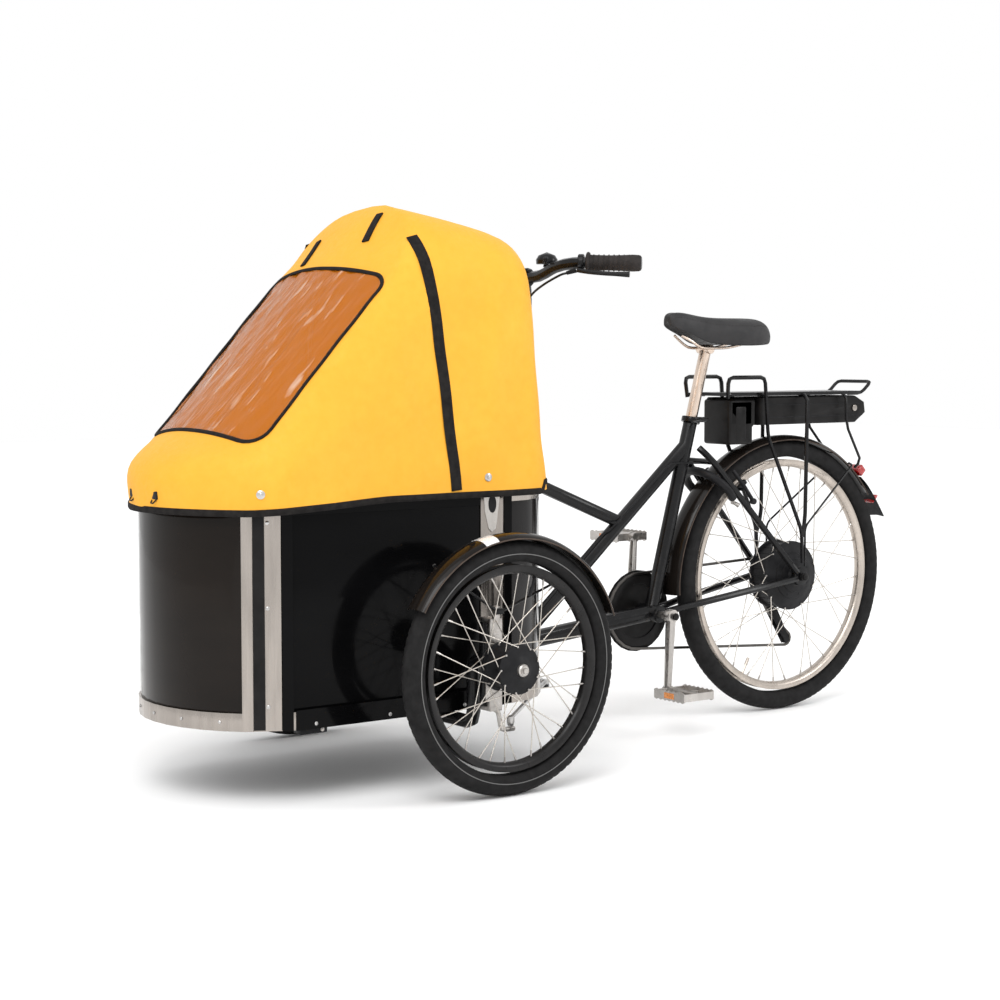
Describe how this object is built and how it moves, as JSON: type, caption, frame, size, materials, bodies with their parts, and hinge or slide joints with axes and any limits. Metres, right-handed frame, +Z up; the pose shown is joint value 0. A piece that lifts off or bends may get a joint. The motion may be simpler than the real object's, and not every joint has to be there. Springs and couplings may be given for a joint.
{
  "type": "cargo bicycle",
  "caption": "Electric-assist cargo tricycle: a canopied load box between the front wheels, with a rack battery and a rear hub motor.",
  "frame": {"origin": "centre of the bounding box in plan, at ground level", "axes": "+X forward towards the box, +Y to the rider's left, +Z up"},
  "size_m": [2.031, 0.894, 1.172],
  "materials": {
    "black_paint": "semi-gloss black powder coat",
    "steel": "plain bright steel",
    "aluminium": "polished aluminium",
    "champagne_aluminium": "satin champagne anodised",
    "black_plastic": "satin black",
    "gloss_panel": "high gloss black",
    "smoked_panel": "high gloss dark brown",
    "canopy_fabric": "woven coated yellow cloth",
    "tyre_rubber": "matt tyre rubber",
    "grip_rubber": "matt rubber",
    "black_rim": "semi-gloss black",
    "fender_plastic": "gloss dark brown-black",
    "red_lens": "red reflector",
    "saddle_cover": "satin black cover"
  },
  "bodies": {
    "frame": {"main_frame": "black_paint", "rear_stays": "black_paint", "axle_beam": "black_paint", "box_frame": "aluminium", "box_floor": "black_plastic", "side_panel_left": "gloss_panel", "side_panel_right": "gloss_panel", "front_panel": "smoked_panel", "rear_panel": "gloss_panel", "canopy": "canopy_fabric", "canopy_hoops": "steel", "rack": "black_paint", "controller_housing": "black_plastic", "rear_mudguard": "fender_plastic", "rear_light": "red_lens", "ring_lock": "black_plastic", "chain": "steel", "derailleur": "black_plastic", "brake_cable": "black_plastic", "seat_clamp": "black_paint"},
    "steering": {"steering_column": "black_paint", "handlebar": "black_paint", "grip_left": "grip_rubber", "grip_right": "grip_rubber", "bell": "black_paint"},
    "twist_shifter": {"twist_shifter": "black_plastic"},
    "brake_lever_left": {"brake_lever_left": "black_paint"},
    "brake_lever_right": {"brake_lever_right": "black_paint"},
    "tie_rod_left": {"tie_rod_left": "steel"},
    "tie_rod_right": {"tie_rod_right": "steel"},
    "knuckle_left": {"knuckle_left": "steel", "fender_left": "fender_plastic"},
    "knuckle_right": {"knuckle_right": "steel", "fender_right": "fender_plastic"},
    "wheel_front_left": {"tyre_front_left": "tyre_rubber", "rim_front_left": "black_rim", "spokes_front_left": "steel", "hub_front_left": "black_plastic"},
    "wheel_front_right": {"tyre_front_right": "tyre_rubber", "rim_front_right": "black_rim", "spokes_front_right": "steel", "hub_front_right": "black_plastic"},
    "wheel_rear": {"rear_tyre": "tyre_rubber", "rear_rim": "aluminium", "rear_spokes": "steel", "hub_motor": "black_plastic"},
    "cassette": {"cassette": "steel"},
    "crankset": {"crank_arms": "aluminium", "chainring": "black_paint"},
    "pedal_left": {"pedal_left": "black_plastic"},
    "pedal_right": {"pedal_right": "black_plastic"},
    "derailleur_cage": {"derailleur_cage": "black_plastic"},
    "seat": {"seatpost": "champagne_aluminium", "saddle": "saddle_cover"},
    "seat_clamp_lever": {"seat_clamp_lever": "black_paint"},
    "battery": {"battery": "black_plastic"},
    "battery_lock": {"battery_lock": "aluminium"},
    "ring_lock_bolt": {"ring_lock_bolt": "aluminium"},
    "rim_brake_left": {"rim_brake_left": "black_plastic"},
    "rim_brake_right": {"rim_brake_right": "black_plastic"}
  },
  "joints": [
    {"name": "steering", "type": "hinge", "parent": "frame", "child": "steering", "pos_m": [0.0985, 0, 0.625], "axis": [0, 0, 1], "range_deg": [-25, 25]},
    {"name": "steer_left", "type": "hinge", "parent": "frame", "child": "knuckle_left", "pos_m": [0.4365, 0.322, 0.252], "axis": [0, 0, 1], "range_deg": [-25.5, 25.5]},
    {"name": "tie_rod_left", "type": "hinge", "parent": "steering", "child": "tie_rod_left", "pos_m": [0.0485, 0.012, 0.1275], "axis": [0, 0, 1], "range_deg": [-25.5, 25.5]},
    {"name": "wheel_front_left", "type": "hinge", "parent": "knuckle_left", "child": "wheel_front_left", "pos_m": [0.4365, 0.4, 0.252], "axis": [0, 1, 0], "continuous": true},
    {"name": "steer_right", "type": "hinge", "parent": "frame", "child": "knuckle_right", "pos_m": [0.4365, -0.322, 0.252], "axis": [0, 0, 1], "range_deg": [-25.5, 25.5]},
    {"name": "tie_rod_right", "type": "hinge", "parent": "steering", "child": "tie_rod_right", "pos_m": [0.0485, -0.012, 0.1275], "axis": [0, 0, 1], "range_deg": [-25.5, 25.5]},
    {"name": "wheel_front_right", "type": "hinge", "parent": "knuckle_right", "child": "wheel_front_right", "pos_m": [0.4365, -0.4, 0.252], "axis": [0, 1, 0], "continuous": true},
    {"name": "wheel_rear", "type": "hinge", "parent": "frame", "child": "wheel_rear", "pos_m": [-0.6815, 0, 0.328], "axis": [0, 1, 0], "continuous": true},
    {"name": "crankset", "type": "hinge", "parent": "frame", "child": "crankset", "pos_m": [-0.2665, 0, 0.265], "axis": [0, 1, 0], "continuous": true},
    {"name": "cassette", "type": "hinge", "parent": "frame", "child": "cassette", "pos_m": [-0.6815, -0.044, 0.328], "axis": [0, 1, 0], "continuous": true},
    {"name": "pedal_left", "type": "hinge", "parent": "crankset", "child": "pedal_left", "pos_m": [-0.24873, 0.082, 0.09593], "axis": [0, 1, 0], "continuous": true},
    {"name": "pedal_right", "type": "hinge", "parent": "crankset", "child": "pedal_right", "pos_m": [-0.28427, -0.082, 0.43407], "axis": [0, 1, 0], "continuous": true},
    {"name": "derailleur_cage", "type": "hinge", "parent": "frame", "child": "derailleur_cage", "pos_m": [-0.7075, -0.044, 0.255], "axis": [0, 1, 0], "range_deg": [0, 18], "stiffness_Nm_per_rad": 0.4, "springref_deg": -34.38, "deforming": ["chain"]},
    {"name": "seat_height", "type": "slide", "parent": "frame", "child": "seat", "axis": [-0.2629, 0, 0.9648], "range_m": [-0.04, 0.08]},
    {"name": "seat_clamp_lever", "type": "hinge", "parent": "frame", "child": "seat_clamp_lever", "pos_m": [-0.41735, 0.0266, 0.7095], "axis": [0, 0, 1], "range_deg": [0, 120]},
    {"name": "battery_slide", "type": "slide", "parent": "frame", "child": "battery", "axis": [-1, 0, 0], "range_m": [0, 0.3]},
    {"name": "battery_lock", "type": "hinge", "parent": "battery", "child": "battery_lock", "pos_m": [-0.8775, 0.045, 0.73], "axis": [0, 1, 0], "range_deg": [0, 90]},
    {"name": "ring_lock_bolt", "type": "hinge", "parent": "frame", "child": "ring_lock_bolt", "pos_m": [-0.44747, 0, 0.54624], "axis": [-0.682, 0, 0.7314], "range_deg": [0, 28]},
    {"name": "brake_lever_left", "type": "hinge", "parent": "steering", "child": "brake_lever_left", "pos_m": [0.11402, 0.20883, 1.04013], "axis": [0.3406, 0.3411, 0.8762], "range_deg": [0, 12], "stiffness_Nm_per_rad": 1, "springref_deg": -28.65},
    {"name": "brake_lever_right", "type": "hinge", "parent": "steering", "child": "brake_lever_right", "pos_m": [0.11402, -0.20883, 1.04013], "axis": [-0.3406, 0.3411, -0.8762], "range_deg": [0, 12], "stiffness_Nm_per_rad": 1, "springref_deg": -28.65},
    {"name": "twist_shifter", "type": "hinge", "parent": "steering", "child": "twist_shifter", "pos_m": [0.07523, -0.20571, 1.05642], "axis": [0.6898, 0.7239, 0.0137], "range_deg": [-45, 45]},
    {"name": "rim_brake_left", "type": "hinge", "parent": "frame", "child": "rim_brake_left", "pos_m": [-0.53783, 0.054, 0.51523], "axis": [0.7934, 0, -0.6088], "range_deg": [0, 6]},
    {"name": "rim_brake_right", "type": "hinge", "parent": "frame", "child": "rim_brake_right", "pos_m": [-0.53783, -0.054, 0.51523], "axis": [-0.7934, 0, 0.6088], "range_deg": [0, 6]}
  ],
  "couplings": [
    {"joint": "steer_left", "follows": "steering", "ratio": 1},
    {"joint": "tie_rod_left", "follows": "steering", "ratio": -1},
    {"joint": "rim_brake_left", "follows": "brake_lever_right", "ratio": 0.45},
    {"joint": "steer_right", "follows": "steering", "ratio": 1},
    {"joint": "tie_rod_right", "follows": "steering", "ratio": -1},
    {"joint": "rim_brake_right", "follows": "brake_lever_right", "ratio": 0.45},
    {"joint": "cassette", "follows": "crankset", "ratio": 2.225}
  ]
}
